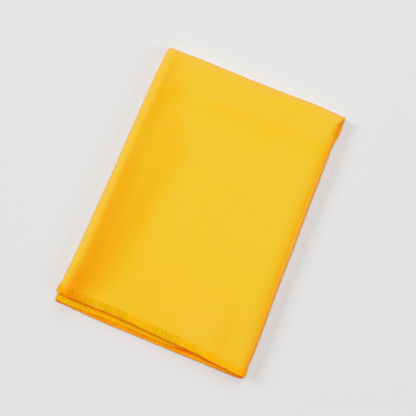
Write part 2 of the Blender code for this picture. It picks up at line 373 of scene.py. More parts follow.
WRINKLES = table(
    Wrinkle,
    ((0.034, 0.1695), (0.118, 0.1730), 0.0008, 0.0020, -0.00007, 0.05, 0.00),
    ((0.010, 0.1760), (0.106, 0.1775), 0.0, 0.0018, 0.00006, 0.00, 0.03),
    ((0.030, 0.1765), (0.068, 0.1775), 0.0, 0.0034, 0.0, 0.00, 0.07),
    ((0.0950, 0.1500), (0.1340, 0.1865), -0.0010, 0.0011, 0.00010, -0.01, 0.11, 0.2),
    ((0.1010, 0.1490), (0.1380, 0.1835), -0.0010, 0.0020, -0.00005, 0.02, 0.00),
    ((0.0670, 0.0655), (0.0835, 0.0230), -0.0006, 0.0011, -0.00012, 0.035, -0.12, 0.25),
    ((0.0715, 0.0880), (0.0680, 0.0600), 0.0004, 0.0012, -0.00008, 0.05, -0.08),
    ((0.0685, 0.1120), (0.0715, 0.0820), 0.0004, 0.0012, -0.00006, 0.035, -0.09),
    ((0.0310, 0.1140), (0.0340, 0.0560), 0.0, 0.0019, -0.00012, 0.08, -0.05),
    ((0.0215, 0.0900), (0.0225, 0.0220), 0.0003, 0.0016, -0.00009, 0.06, 0.00),
    ((0.0180, 0.0720), (0.0185, 0.0260), 0.0003, 0.0013, 0.00004, -0.03, 0.00),
    ((0.0280, 0.1560), (0.0450, 0.1160), 0.0010, 0.0028, -0.00010, 0.05, -0.02),
    ((0.0520, 0.0800), (0.0595, 0.0540), 0.0, 0.0015, -0.00006, 0.035, -0.04),
    ((0.0570, 0.0810), (0.0640, 0.0560), 0.0, 0.0014, 0.00004, -0.03, 0.00),
    ((0.1135, -0.0060), (0.1130, 0.0420), 0.0, 0.0056, -0.00022, 0.16, -0.08, 0.5),
    ((0.1085, 0.0540), (0.1180, 0.0180), 0.0, 0.0026, -0.00008, 0.05, -0.06),
    ((0.0930, 0.0020), (0.0960, 0.0440), 0.0, 0.0085, 0.00012, 0.00, 0.09, 0.5),
    ((0.0830, 0.1900), (0.1220, 0.1910), 0.0, 0.0036, 0.0, 0.00, -0.09),
    ((0.0780, 0.1700), (0.0960, 0.1510), 0.0020, 0.0060, 0.0, 0.01, -0.07),
    ((0.0440, 0.0640), (0.0540, 0.0480), 0.0, 0.0018, -0.00005, 0.04, -0.02),
    ((0.0480, 0.0330), (0.0600, 0.0300), 0.0, 0.0030, -0.00005, 0.04, 0.00),
    ((0.0860, 0.0840), (0.1000, 0.0780), -0.0020, 0.0012, -0.00004, 0.01, -0.07),
    ((0.0930, 0.0900), (0.1010, 0.0840), 0.0015, 0.0010, 0.00004, 0.00, 0.07),
    ((0.0970, 0.0700), (0.1120, 0.0660), 0.0020, 0.0014, -0.00005, 0.01, -0.06),
    ((0.0790, 0.1240), (0.0860, 0.1140), 0.0010, 0.0018, -0.00005, 0.02, -0.04),
    ((0.0700, 0.1160), (0.0760, 0.1050), 0.0, 0.0016, -0.00004, 0.02, -0.03),
    ((0.0190, 0.1990), (0.0260, 0.1910), 0.0, 0.0009, -0.00006, 0.06, 0.04),
    ((0.0090, 0.1960), (0.0150, 0.1860), 0.0, 0.0013, -0.00004, 0.02, -0.04),
    ((0.1130, 0.1990), (0.1220, 0.1915), 0.0, 0.0009, -0.00006, 0.06, 0.05),
    ((0.1290, 0.1985), (0.1345, 0.1925), 0.0, 0.0009, -0.00006, 0.07, 0.05),
    ((0.0450, 0.1985), (0.0510, 0.1935), 0.0, 0.0009, -0.00004, 0.04, 0.00),
    ((0.0700, 0.0050), (0.0750, 0.0600), 0.0, 0.0220, 0.0, 0.00, 0.07, 0.5),
    ((0.0220, 0.1300), (0.0220, 0.1600), 0.0, 0.0050, 0.0, 0.00, 0.05, 0.5),
    ((0.1050, -0.0200), (0.1160, 0.0620), 0.0, 0.0280, 0.0, -0.02, 0.13, 0.5),
    ((0.0200, 0.1710), (0.0460, 0.1710), 0.0, 0.0030, 0.0, 0.00, 0.14),
    ((0.0050, 0.1500), (0.0050, 0.1780), 0.0, 0.0024, 0.0, 0.00, 0.09),
    ((0.0050, 0.0068), (0.0150, 0.0066), 0.0, 0.0012, 0.0, 0.35, 0.00),
    ((0.0510, 0.0900), (0.0520, 0.1300), 0.0, 0.0050, 0.0, 0.00, -0.06, 0.5),
    ((0.0240, 0.1400), (0.0420, 0.1320), 0.0, 0.0060, 0.0, 0.00, 0.07, 0.5),
    ((0.1120, 0.1400), (0.1180, 0.1180), 0.0, 0.0050, 0.0, 0.00, 0.11, 0.5),
    ((0.0380, 0.0300), (0.0480, 0.0060), 0.0, 0.0060, 0.0, 0.00, 0.06, 0.5),
)


def wrinkle_sum(across: np.ndarray, along: np.ndarray, column: str) -> np.ndarray:
    """Add up what the wrinkles do at points of the face.

    Args:
        across: distances from the left edge.
        along: distances from the lowest hem.
        column: `rise`, `depth` or `painted_sheen`.

    Returns:
        The sum at each point.
    """
    total = np.zeros(np.broadcast(across, along).shape)
    for wrinkle in WRINKLES:
        total = total + getattr(wrinkle, column) * wrinkle.strength(across, along)
    return total


# --------------------------------------------------------------------------- shaders


class Maths:
    """A shader socket whose operators add Math nodes to its node tree."""

    def __init__(self, tree: bpy.types.NodeTree, socket: bpy.types.NodeSocket) -> None:
        """Keep the tree and the socket."""
        self.tree = tree
        self.socket = socket

    def apply(self, operation: str, *others: object, turned: bool = False) -> "Maths":
        """Add one Math node.

        Args:
            operation: the node's operation.
            others: the other inputs, sockets or numbers.
            turned: whether this socket comes after the first of the others.

        Returns:
            The node's output.
        """
        node = self.tree.nodes.new("ShaderNodeMath")
        node.operation = operation
        inputs = [self, *others]
        if turned:
            inputs[0], inputs[1] = inputs[1], inputs[0]
        for socket, value in zip(node.inputs, inputs):
            if isinstance(value, Maths):
                self.tree.links.new(value.socket, socket)
            else:
                socket.default_value = value
        return Maths(self.tree, node.outputs[0])

    def __add__(self, other: object) -> "Maths":
        """Sum."""
        return self.apply("ADD", other)

    def __radd__(self, other: object) -> "Maths":
        """Sum with a number on the left."""
        return self.apply("ADD", other)

    def __sub__(self, other: object) -> "Maths":
        """Difference."""
        return self.apply("SUBTRACT", other)

    def __rsub__(self, other: object) -> "Maths":
        """Difference with a number on the left."""
        return self.apply("SUBTRACT", other, turned=True)

    def __mul__(self, other: object) -> "Maths":
        """Product."""
        return self.apply("MULTIPLY", other)

    def __rmul__(self, other: object) -> "Maths":
        """Product with a number on the left."""
        return self.apply("MULTIPLY", other)

    def __truediv__(self, other: object) -> "Maths":
        """Quotient."""
        return self.apply("DIVIDE", other)


def swing(noises: Sequence[Maths], shares: Sequence[float]) -> Maths:
    """Add noises, which swing about 0.5, into one that swings about 0.

    Args:
        noises: the noises.
        shares: how much of each is taken.

    Returns:
        Their weighted sum.
    """
    parts = [(noise - 0.5) * share for noise, share in zip(noises, shares)]
    return sum(parts[1:], parts[0])


class Shader:
    """A material's node tree, with one method that makes its nodes."""

    def __init__(self, name: str) -> None:
        """Start a material with a Principled shader.

        Args:
            name: the material's name.
        """
        self.material = bpy.data.materials.new(name)
        self.material.use_nodes = True
        self.tree = self.material.node_tree
        self.surface = self.tree.nodes["Principled BSDF"]

    def node(
        self, kind: str, settings: dict | None = None, output: int | str = 0, **inputs: object
    ) -> Maths:
        """Add a node.

        Args:
            kind: the node's type.
            settings: attributes to set first.
            output: the output that is returned.
            inputs: values or links, by socket name with spaces as underscores.

        Returns:
            The chosen output.
        """
        node = self.tree.nodes.new(kind)
        for name, value in (settings or {}).items():
            setattr(node, name, value)
        for name, value in inputs.items():
            self.feed(node.inputs[name.replace("_", " ")], value)
        return Maths(self.tree, node.outputs[output])

    def feed(self, socket: bpy.types.NodeSocket, value: object) -> None:
        """Link a socket, or set its value.

        Args:
            socket: the socket to feed.
            value: a link, a number or a colour.
        """
        if isinstance(value, Maths):
            self.tree.links.new(value.socket, socket)
        else:
            socket.default_value = value

    def noise(self, place: Maths, scale: float, detail: float, **others: float) -> Maths:
        """Add a noise texture."""
        return self.node("ShaderNodeTexNoise", Vector=place, Scale=scale, Detail=detail, **others)

    def mask(self, name: str) -> Maths:
        """Read one of the mesh's masks."""
        return self.node("ShaderNodeAttribute", {"attribute_name": name}, output="Fac")

    def mix(self, share: object, first: object, second: object) -> Maths:
        """Mix two colours.

        Args:
            share: the share of the second colour, held between 0 and 1.
            first: the first colour.
            second: the second colour.

        Returns:
            The mixed colour.
        """
        node = self.tree.nodes.new("ShaderNodeMix")
        node.data_type = "RGBA"
        for index, value in ((0, share), (6, first), (7, second)):
            self.feed(node.inputs[index], value)
        return Maths(self.tree, node.outputs[2])

    def finish(self, **inputs: object) -> bpy.types.Material:
        """Feed the Principled shader and return its material.

        Args:
            inputs: values or links, by socket name with spaces as underscores.

        Returns:
            The material.
        """
        for name, value in inputs.items():
            self.feed(self.surface.inputs[name.replace("_", " ")], value)
        return self.material


@dataclass(frozen=True)
class PaintedGapShade:
    """Painted shade of the gap between two layers: a dark line, and a painted glow in and near it.
    """

    # Colours of the painted shade line and of the painted glow, which is emitted though no lamp.
    line: Colour
    soft_shade_line: Colour
    shade_glow: Colour
    line_glow: Colour = (0.220, 0.022, 0.0, 1.0)
    no_light: Colour = (0.0, 0.0, 0.0, 1.0)
    line_gain: float = 1.4           # how fast the line sets in, for each millimetre
    glow_gain: float = 0.7           # how fast the glow of the shade sets in
    line_depth: float = 2.6          # millimetres from the start of the line to its end
    middle: float = -0.020           # place across the towel where the line is softest
    soft_reach: float = 0.032        # how far to each side it stays soft
    fade: float = 0.012              # and over what distance it deepens beyond that

    def paint(
        self, shader: Shader, colour: Maths, inside: Colour, start: Maths, ragged: Maths
    ) -> tuple[Maths, Maths]:
        """Paint the gap's shade line over a colour, and make its painted glow.

        Args:
            shader: the shader of the cloth or the yarn.
            colour: its colour so far.
            inside: its colour beyond the line.
            start: unevenness of the start of the line.
            ragged: unevenness of the change from the soft line to the dark one.

        Returns:
            The colour with the painted shade line, and the painted glow to emit.
        """
        painted_shade_line = shader.mask(SHADE_LINE_MASK)
        crevice = painted_shade_line * self.line_gain + start
        past = painted_shade_line - self.line_depth
        place = shader.node("ShaderNodeTexCoord", output="Object")
        across = shader.node("ShaderNodeSeparateXYZ", Vector=place, output="X")
        outer = ((across - self.middle).apply("ABSOLUTE") - self.soft_reach) / self.fade
        line = shader.mix(outer + ragged, self.soft_shade_line, self.line)
        colour = shader.mix(past, shader.mix(crevice, colour, line), inside)
        # Painted light: a glow emitted in and near the shade line, standing in for light through
        # the cloth.
        shade = (painted_shade_line + OPEN_DEPTH) * self.glow_gain
        glow = shader.mix(shade, self.no_light, self.shade_glow)
        glow = shader.mix(crevice, glow, self.line_glow)
        return colour, shader.mix(past, glow, self.no_light)


@dataclass(frozen=True)
class ClothFinish:
    """Short-napped microfibre: matt with a soft sheen; its masks add painted shade, sheen and
    light.
    """

    face: Colour = (0.830, 0.522, 0.0290, 1.0)
    pale: Colour = (0.845, 0.565, 0.0370, 1.0)
    # Painted shade: the faint, amber and deep colours where the shade mask is deep.
    faint_shade: Colour = (0.836, 0.500, 0.0170, 1.0)
    amber_shade: Colour = (0.838, 0.416, 0.0080, 1.0)
    deep_shade: Colour = (0.860, 0.312, 0.0026, 1.0)
    # Painted light below 0 on the shade mask; painted sheen and dull shade on the sheen mask.
    bright: Colour = (0.970, 0.600, 0.0060, 1.0)
    pale_sheen: Colour = (0.880, 0.510, 0.105, 1.0)
    dull_shade: Colour = (0.824, 0.515, 0.0040, 1.0)
    hem: Colour = (0.895, 0.360, 0.002, 1.0)
    # Painted shade lines between the layers, and their painted glow.
    gap: PaintedGapShade = PaintedGapShade(
        line=(0.810, 0.165, 0.0010, 1.0),
        soft_shade_line=(0.820, 0.290, 0.0010, 1.0),
        shade_glow=(0.115, 0.028, 0.0, 1.0),
    )
    shade_stops: tuple = (0.125, 0.5, 1.0)       # shade depths of the faint, amber and deep painted shade
    roughness: float = 0.92
    sheen: float = 0.40
    sheen_roughness: float = 0.22
    sheen_tint: Colour = (1.0, 0.88, 0.76, 1.0)
    nap_size: float = 0.00055
    tuft_size: float = 0.0016
    dust_size: float = 0.0055
    patch_size: float = 0.014
    wale_pitch: float = 0.00085
    tone_shares: tuple = (1.4, 1.0, 0.75, 0.5)   # tufts, patches, nap and dust in the tone
    tone_middle: float = 0.06
    grain_shares: tuple = (0.85, 0.55, 0.50)     # dust, tufts and nap in the grain added to the painted sheen
    grain_end: float = 1.15                      # the shade depth at which the grain adds no painted sheen
    height_shares: tuple = (0.55, 0.35, 0.10)    # nap, tufts and wales in the bump
    tuft_depth: float = 0.03
    tuft_line: float = 1.6
    tuft_roughness: float = 0.08
    dull_shade_gain: float = 2.4
    hem_share: float = 0.8
    bump: float = 0.22
    bump_height: float = 0.00025

    def material(self) -> bpy.types.Material:
        """Build the material, which reads the sheet's flat UV map and its masks.

        Returns:
            The material.
        """
        shader = Shader("microfibre cloth")
        flat = shader.node("ShaderNodeUVMap", {"uv_map": FLAT_MAP})
        side = FoldedCloth.flat_side
        nap = shader.noise(flat, side / self.nap_size, detail=2.0)
        tuft = shader.noise(flat, side / self.tuft_size, detail=3.0)
        patch = shader.noise(flat, side / self.patch_size, detail=2.0)
        dust = shader.noise(flat, side / self.dust_size, detail=4.5, Roughness=0.95)
        wale = shader.node(
            "ShaderNodeTexWave",
            {"wave_type": "BANDS", "bands_direction": "X"},
            output="Fac",
            Vector=flat,
            Scale=side / self.wale_pitch / math.tau * 0.5,
            Distortion=1.2,
            Detail=1.0,
        )
        # The masks of painted shade and of painted sheen.
        deep_shade, painted_sheen = shader.mask(PAINTED_SHADE_MASK), shader.mask(PAINTED_SHEEN_MASK)
        tone = swing((tuft, patch, nap, dust), self.tone_shares) + self.tone_middle
        colour = shader.mix(tone, self.face, self.pale)
        depth = deep_shade + swing((tuft,), (self.tuft_depth,))
        # Painted shade: faint, amber and deep colours as the shade mask deepens.
        start = 0.0
        for full, shade in zip(self.shade_stops, (self.faint_shade, self.amber_shade, self.deep_shade)):
            colour = shader.mix((depth - start) / (full - start), colour, shade)
            start = full
        # Painted sheen where its mask is above 0, with random grain; painted dull shade below 0.
        grain = swing((dust, tuft, nap), self.grain_shares)
        sheen_and_grain = painted_sheen + grain * (self.grain_end - depth)
        colour = shader.mix(sheen_and_grain, colour, self.pale_sheen)
        colour = shader.mix(sheen_and_grain * -self.dull_shade_gain, colour, self.dull_shade)
        # Painted shade lines between the layers, with their painted glow.
        ragged = swing((tuft,), (self.tuft_line,))
        colour, glow = self.gap.paint(shader, colour, self.deep_shade, ragged, ragged)
        # Painted light where the shade mask is below 0.
        colour = shader.mix(deep_shade * -1, colour, self.bright)
        colour = shader.mix(shader.mask(HEM_MASK) * self.hem_share, colour, self.hem)
        height = swing((nap, tuft, wale), self.height_shares)
        bump = shader.node(
            "ShaderNodeBump", Height=height, Strength=self.bump, Distance=self.bump_height
        )
        return shader.finish(
            Base_Color=colour,
            Roughness=self.roughness + swing((tuft,), (self.tuft_roughness,)),
            Normal=bump,
            Sheen_Weight=self.sheen,
            Sheen_Roughness=self.sheen_roughness,
            Sheen_Tint=self.sheen_tint,
            Specular_IOR_Level=0.0,
            # Painted light: the glow of the shade lines is emitted, though the cloth is no lamp.
            Emission_Color=glow,
            Emission_Strength=1.0,
        )


@dataclass(frozen=True)
class ThreadFinish:
    """Textured overlock yarn, denser and a little deeper than the cloth; with painted shade and
    light.
    """

    body: Colour = (0.885, 0.500, 0.002, 1.0)
    worn: Colour = (0.900, 0.553, 0.003, 1.0)
    # Painted shade and painted light, where the cloth's shade mask calls for them.
    deep_shade: Colour = (0.930, 0.305, 0.001, 1.0)
    bright: Colour = (0.980, 0.665, 0.003, 1.0)
    knot: Colour = (0.900, 0.640, 0.006, 1.0)
    # Painted shade lines between the layers, and their painted glow.
    gap: PaintedGapShade = PaintedGapShade(
        line=(0.790, 0.150, 0.001, 1.0),
        soft_shade_line=(0.800, 0.290, 0.001, 1.0),
        shade_glow=(0.085, 0.018, 0.0, 1.0),
    )
    knot_inward: float = 1.3                     # millimetres from the cut edge
    knot_share: float = 0.9
    knot_fall: float = 2.0                       # share lost for each millimetre off it
    roughness: float = 0.85
    sheen: float = 0.06
    sheen_roughness: float = 0.22
    fibre_size: float = 0.00040
    drift_size: float = 0.004
    tone_shares: tuple = (0.5, 0.6)              # fibres and slow drift in the tone
    tone_middle: float = 0.3
    start_shares: tuple = (1.2, 1.2)             # and in the start of the dark line
    fibre_line: float = 1.6
    fibre_roughness: float = 0.1
    bump: float = 0.3
    bump_height: float = 0.0001

    def material(self) -> bpy.types.Material:
        """Build the material, which reads object coordinates and the yarn's masks.

        Returns:
            The material.
        """
        shader = Shader("overlock thread")
        place = shader.node("ShaderNodeTexCoord", output="Object")
        fibre = shader.noise(place, 1 / self.fibre_size, detail=2.0)
        drift = shader.noise(place, 1 / self.drift_size, detail=1.0)
        deep_shade, knotted = shader.mask(PAINTED_SHADE_MASK), shader.mask(KNOT_MASK)
        tone = swing((fibre, drift), self.tone_shares) + self.tone_middle
        colour = shader.mix(tone, self.body, self.worn)
        # Painted shade where the shade mask is above 0, and painted light where it is below 0.
        colour = shader.mix(deep_shade, colour, self.deep_shade)
        colour = shader.mix(deep_shade * -1, colour, self.bright)
        start = swing((fibre, drift), self.start_shares)
        ragged = swing((fibre,), (self.fibre_line,))
        # Painted shade lines between the layers, with their painted glow.
        colour, glow = self.gap.paint(shader, colour, self.deep_shade, start, ragged)
        off_knot = (knotted - self.knot_inward).apply("ABSOLUTE")
        colour = shader.mix(self.knot_share - off_knot * self.knot_fall, colour, self.knot)
        bump = shader.node(
            "ShaderNodeBump", Height=fibre, Strength=self.bump, Distance=self.bump_height
        )
        return shader.finish(
            Base_Color=colour,
            Roughness=self.roughness + swing((fibre,), (self.fibre_roughness,)),
            Normal=bump,
            Sheen_Weight=self.sheen,
            Sheen_Roughness=self.sheen_roughness,
            Specular_IOR_Level=0.0,
            # Painted light: the glow of the shade lines is emitted, though the yarn is no lamp.
            Emission_Color=glow,
            Emission_Strength=1.0,
        )


@dataclass(frozen=True)
class FloorFinish:
    """Plain pale studio floor."""

    colour: Colour = (0.714, 0.714, 0.714, 1.0)
    roughness: float = 0.9
    gloss: float = 0.1

    def material(self) -> bpy.types.Material:
        """Build the material.

        Returns:
            The material.
        """
        return Shader("studio floor").finish(
            Base_Color=self.colour, Roughness=self.roughness, Specular_IOR_Level=self.gloss
        )


# --------------------------------------------------------------------------- cloth


def deselect_all() -> None:
    """Leave no object selected."""
    for other in bpy.context.selected_objects:
        other.select_set(False)


def take(piece: bpy.types.Object) -> None:
    """Select one piece only and make it active.

    Args:
        piece: the piece.
    """
    deselect_all()
    piece.select_set(True)
    bpy.context.view_layer.objects.active = piece


def write_masks(mesh: bpy.types.Mesh, masks: dict[str, np.ndarray]) -> None:
    """Give a mesh its masks.

    Args:
        mesh: the mesh.
        masks: one value for each vertex, by the mask's name.
    """
    for name, mask in masks.items():
        attribute = mesh.attributes.new(name, "FLOAT", "POINT")
        attribute.data.foreach_set("value", mask.astype(np.float32).ravel())


@dataclass
class FoldedCloth:
    """The sheet of cloth on the folds of its solid."""

    # The sheet, its flat panels and its stack.
    flat_side: float = 0.400
    thickness: float = 0.0008
    solid_thickness: float = 0.0010
    ply_pitch: float = 0.0016
    face_width: float = 0.1365
    folded_length: float = 0.1990
    flap_clearance: float = 0.0060
    panel_runs: tuple = (0.1297, 0.0040, 0.1330, 0.0050, 0.1283)
    crease_share: tuple = (0.485, 0.515)     # where the crease lies along the flat sheet
    smooth_angle: float = 50.0

    # The puffed face, its ridge and the round of its folds.
    face_puff: float = 0.0011
    puff_run: float = 0.0110
    ridge_steep: float = 0.0120
    ridge_slow: float = 0.0380
    ridge_steep_share: float = 0.62
    fold_roundness: float = 0.85
    edge_turn: float = 3.0                   # how fast the crease changes to the lower edges
    push_start: float = 0.8                  # share of the way where the crease's own push starts

    # The hems.
    hem_band: float = 0.0051
    hem_rise: float = 0.00033
    rise_reach: float = 0.0012
    hem_wander: float = 0.00012
    hem_waves: tuple = (0.61, 0.37, 0.23)    # lengths of the wander, in fifths of a panel
    hem_seed: int = 4
    upper_phase: float = 9.0                 # keeps the two ends from wandering alike

    # The cuts of the mesh: shares of a panel or of the way, and how many cuts lie between.
    ridge_end: float = 0.30
    round_start: float = 0.88
    hem_end: float = 0.06
    near_crease: float = 0.94
    flap_cuts: int = 16
    fold_cuts: int = 12
    ridge_cuts: int = 42
    face_cuts: int = 56
    round_cuts: int = 14
    hem_cuts: int = 12
    upper_cuts: int = 120
    lower_cuts: int = 34
    near_crease_cuts: int = 9
    crease_cuts: int = 16

    def __post_init__(self) -> None:
        """Work out the levels of the plies and the sheet's shift to the frame."""
        self.inner_level = self.ply_pitch / 2
        self.under_level = self.inner_level + self.ply_pitch
        self.face_level = self.under_level + self.ply_pitch
        self.middle = self.face_level + self.solid_thickness / 2
        self.crease_axis = self.folded_length - self.middle
        self.lowest_level = self.middle - self.thickness / 2
        self.shift = np.zeros(3)
        grid = self.points(*np.meshgrid(self.across_cuts(), self.along_cuts()))
        centre = (grid.min(axis=(0, 1)) + grid.max(axis=(0, 1))) / 2
        # The solid's crease stands out by half its thickness, and its hems don't.
        centre[1] += self.solid_thickness / 4
        box_low, box_high = (np.array(corner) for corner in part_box(CLOTH_NODE))
        target = (box_low + box_high) / 2
        self.shift = np.array([target[0] - centre[0], target[1] - centre[1], 0.0])

    def face_lift(
        self, from_left: np.ndarray, from_right: np.ndarray, along: np.ndarray
    ) -> np.ndarray:
        """Height of the upper face above its level, from the ridge and the puff.

        Args:
            from_left: distances from the left fold.
            from_right: distances from the right fold.
            along: distances from the lowest hem.

        Returns:
            The heights.
        """
        crown = smooth_read(LIFT_ROWS, along, "crown")
        steep = 1 - ease((from_left - crown) / self.ridge_steep)
        slow = 1 - ease((from_left - crown) / self.ridge_slow)
        part = self.ridge_steep_share * steep + (1 - self.ridge_steep_share) * slow
        ridge = smooth_read(LIFT_ROWS, along, "ridge") * part
        puff = self.face_puff * smooth_read(LIFT_ROWS, along, "puff")
        return ridge + puff * ease(from_right / self.puff_run)

    def edges(self, along: np.ndarray, turned: np.ndarray) -> list[np.ndarray]:
        """Left and right edges of the stack.

        Args:
            along: distances from the lowest hem.
            turned: 0 on the upper half, 1 on the lower half.

        Returns:
            The places of both edges across the face.
        """
        over = ease(self.edge_turn * turned)
        half_width = (self.face_width - self.solid_thickness) / 2
        found = []
        for side, start in (("left", -half_width), ("right", half_width)):
            upper = smooth_read(EDGE_ROWS, along, "upper_" + side)
            lower = smooth_read(EDGE_ROWS, along, "lower_" + side)
            found.append((1 - over) * upper + over * lower + start)
        return found

    def section(
        self, place: np.ndarray, along: np.ndarray, turned: np.ndarray
    ) -> tuple[np.ndarray, np.ndarray]:
        """Place of the cloth in the section.

        Args:
            place: the place across the sheet, counted in panels.
            along: distance from the lowest hem.
            turned: 0 on the upper half, 1 on the lower half.

        Returns:
            The place across the face, and the distance from the middle of the stack.
        """
        raised = 1 - turned
        left, right = self.edges(along, turned)
        face_level = self.face_level + turned * (self.lowest_level - self.face_level)
        zero = np.zeros_like(along)
        wide = np.full_like(along, self.face_width)
        left_top = face_level + raised * self.face_lift(zero, wide, along)
        left_half = (left_top - self.under_level) / 2
        left_centre = left + self.fold_roundness * left_half
        right_half = (face_level - self.inner_level) / 2
        right_centre = right - self.fold_roundness * right_half

        panel = np.clip(np.floor(place), UNDER, INNER)
        share = place - panel
        turn = math.pi * share
        under_x = left_centre + (1 - share) * (right - self.flap_clearance - left_centre)
        left_x = left_centre - self.fold_roundness * left_half * np.sin(turn)
        left_out = self.under_level + left_half * (1 - np.cos(turn))
        face_x = left_centre + share * (right_centre - left_centre)
        lift = self.face_lift(face_x - left_centre, right_centre - face_x, along)
        lift = lift + wrinkle_sum(face_x + self.face_width / 2, along, "rise")
        face_out = face_level + raised * lift
        right_x = right_centre + self.fold_roundness * right_half * np.sin(turn)
        right_out = self.inner_level + right_half * (1 + np.cos(turn))
        inner_x = right_centre - share * (right_centre - left - self.flap_clearance)

        which = [panel == number for number in range(PANELS)]
        x = np.select(which, [under_x, left_x, face_x, right_x, inner_x])
        levels = [self.under_level, left_out, face_out, right_out, self.inner_level]
        return x, np.select(which, levels)

    def from_left(self, place: np.ndarray, along: np.ndarray, turned: np.ndarray) -> np.ndarray:
        """Distances of the section's points from the left edge."""
        return self.section(place, along, turned)[0] + self.face_width / 2

    def hem_edge(self, place: np.ndarray, upper: np.ndarray | bool) -> np.ndarray:
        """Distance of the cut ends from the lowest hem.

        Args:
            place: places across the sheet, 0 to 5.
            upper: whether the upper end is meant, or else the lower one.

        Returns:
            The distances.
        """
        reach = np.where(upper, smooth_read(UPPER_HEM, place), smooth_read(LOWER_HEM, place))
        wave_place = PANELS * place + self.upper_phase * upper
        return reach + self.hem_wander * waves(wave_place, self.hem_waves, self.hem_seed)

    def from_hems(
        self, place: np.ndarray, way: np.ndarray
    ) -> tuple[np.ndarray, np.ndarray, np.ndarray]:
        """Where points of the cloth lie between their own cut edge and the crease.

        Args:
            place: places across the sheet, 0 to 5.
            way: places along the sheet, 0 to 3.

        Returns:
            The place of the cut edge, the share of the way from it to the crease, and the
            distance from the lowest hem.
        """
        upper = way < CREASE_MIDDLE
        hem = self.hem_edge(place, upper)
        share = np.where(upper, np.minimum(way, 1.0), np.minimum(SHEET_END - way, 1.0))
        return hem, share, hem + share * (self.crease_axis - hem)

    def points(self, place: np.ndarray, way: np.ndarray) -> np.ndarray:
        """Places of points of the middle of the cloth.

        Args:
            place: places across the sheet, 0 to 5.
            way: places along the sheet, 0 to 3.

        Returns:
            An array of positions with one more axis than the inputs.
        """
        place, way = np.broadcast_arrays(np.asarray(place, float), np.asarray(way, float))
        turned = np.clip(way - CREASE_START, 0.0, 1.0)
        hem, share, along = self.from_hems(place, way)
        x, out = self.section(place, along, turned)
        from_hem = along - hem
        low = ease((out - self.lowest_level + self.rise_reach) / self.rise_reach) * turned
        rise = self.hem_rise * (1 - ease((from_hem - self.hem_band) / self.hem_band)) * low
        push = smooth_read(CREASE_PUSH, x + self.face_width / 2)
        push = push * ease((share - self.push_start) / (1 - self.push_start))
        swung = math.pi * turned
        y = along + push + out * np.sin(swung) - self.folded_length / 2
        z = self.middle + out * np.cos(swung) + rise
        return np.stack([x, y, z], axis=-1) + self.shift

    def across_cuts(self) -> np.ndarray:
        """Cuts across the sheet, close together in the folds and by the left fold.

        Returns:
            Their places, 0 to 5.
        """
        flap = cuts(0.0, 1.0, self.flap_cuts)
        fold = cuts(0.0, 1.0, self.fold_cuts)
        ridge = cuts(0.0, self.ridge_end, self.ridge_cuts)
        face = cuts(self.ridge_end, self.round_start, self.face_cuts)
        rounding = cuts(self.round_start, 1.0, self.round_cuts)
        pieces = [UNDER + flap, LEFT_FOLD + fold, FACE + ridge, FACE + face]
        pieces += [FACE + rounding, RIGHT_FOLD + fold, INNER + flap, [float(PANELS)]]
        return np.concatenate(pieces)

    def along_cuts(self) -> np.ndarray:
        """Cuts along the sheet, close together at the hems, on the face and in the crease.

        Returns:
            Their places, 0 to 3.
        """
        hem = cuts(0.0, self.hem_end, self.hem_cuts)
        near = cuts(self.near_crease, 1.0, self.near_crease_cuts)
        upper = [hem, cuts(self.hem_end, self.near_crease, self.upper_cuts), near]
        lower = [hem, cuts(self.hem_end, self.near_crease, self.lower_cuts), near]
        crease = np.linspace(CREASE_START, CREASE_END, self.crease_cuts + 1)
        return np.concatenate([*upper, crease, SHEET_END - np.concatenate(lower)[::-1]])

    def flat_across(self, place: np.ndarray) -> np.ndarray:
        """Distance across the flat sheet, as a share of its side."""
        ends = np.concatenate([[0.0], np.cumsum(self.panel_runs)]) / sum(self.panel_runs)
        return np.interp(place, np.arange(PANELS + 1), ends)

    def flat_along(self, way: np.ndarray) -> np.ndarray:
        """Distance along the flat sheet, as a share of its side."""
        ways = (0.0, CREASE_START, CREASE_END, SHEET_END)
        return np.interp(way, ways, (0.0, *self.crease_share, 1.0))

    def build(self) -> bpy.types.Object:
        """Lay out the sheet, give it its flat map and its masks, and thicken it.

        Returns:
            The cloth.
        """
        place, way = np.meshgrid(self.across_cuts(), self.along_cuts())
        grid = self.points(place, way).reshape(-1, 3)
        corner = np.arange(place.size).reshape(place.shape)
        quads = [corner[:-1, :-1], corner[:-1, 1:], corner[1:, 1:], corner[1:, :-1]]
        mesh = bpy.data.meshes.new("towel_cloth")
        mesh.from_pydata(grid.tolist(), [], np.stack(quads, axis=-1).reshape(-1, 4).tolist())
        flat = np.stack([self.flat_across(place), self.flat_along(way)], axis=-1)
        flat = flat.reshape(-1, 2)
        layer = mesh.uv_layers.new(name=FLAT_MAP)
        used = np.empty(len(mesh.loops), dtype=np.int32)
        mesh.loops.foreach_get("vertex_index", used)
        layer.data.foreach_set("uv", flat[used].astype(np.float32).ravel())
        write_masks(mesh, ClothShades(self).masks(place, way))
        cloth = bpy.data.objects.new("towel_cloth", mesh)
        bpy.context.scene.collection.objects.link(cloth)
        self.thicken(cloth)
        return cloth

    def thicken(self, cloth: bpy.types.Object) -> None:
        """Give the sheet its thickness, evenly on both sides.

        Args:
            cloth: the sheet.
        """
        take(cloth)
        solidify = cloth.modifiers.new("thickness", "SOLIDIFY")
        solidify.thickness = self.thickness
        solidify.offset = 0.0
        solidify.use_even_offset = True
        bpy.ops.object.modifier_apply(modifier=solidify.name)
        bpy.ops.object.shade_smooth_by_angle(angle=math.radians(self.smooth_angle))

    def dress(self, cloth: bpy.types.Object, overlock: Sequence[bpy.types.Object]) -> None:
        """Give the cloth its finish, and say what it stands for.

        Args:
            cloth: the sheet.
            overlock: the stitches sewn on it; not used.
        """
        cloth.data.materials.append(ClothFinish().material())
        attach(cloth, BODY)
        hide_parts(CLOTH_NODE)


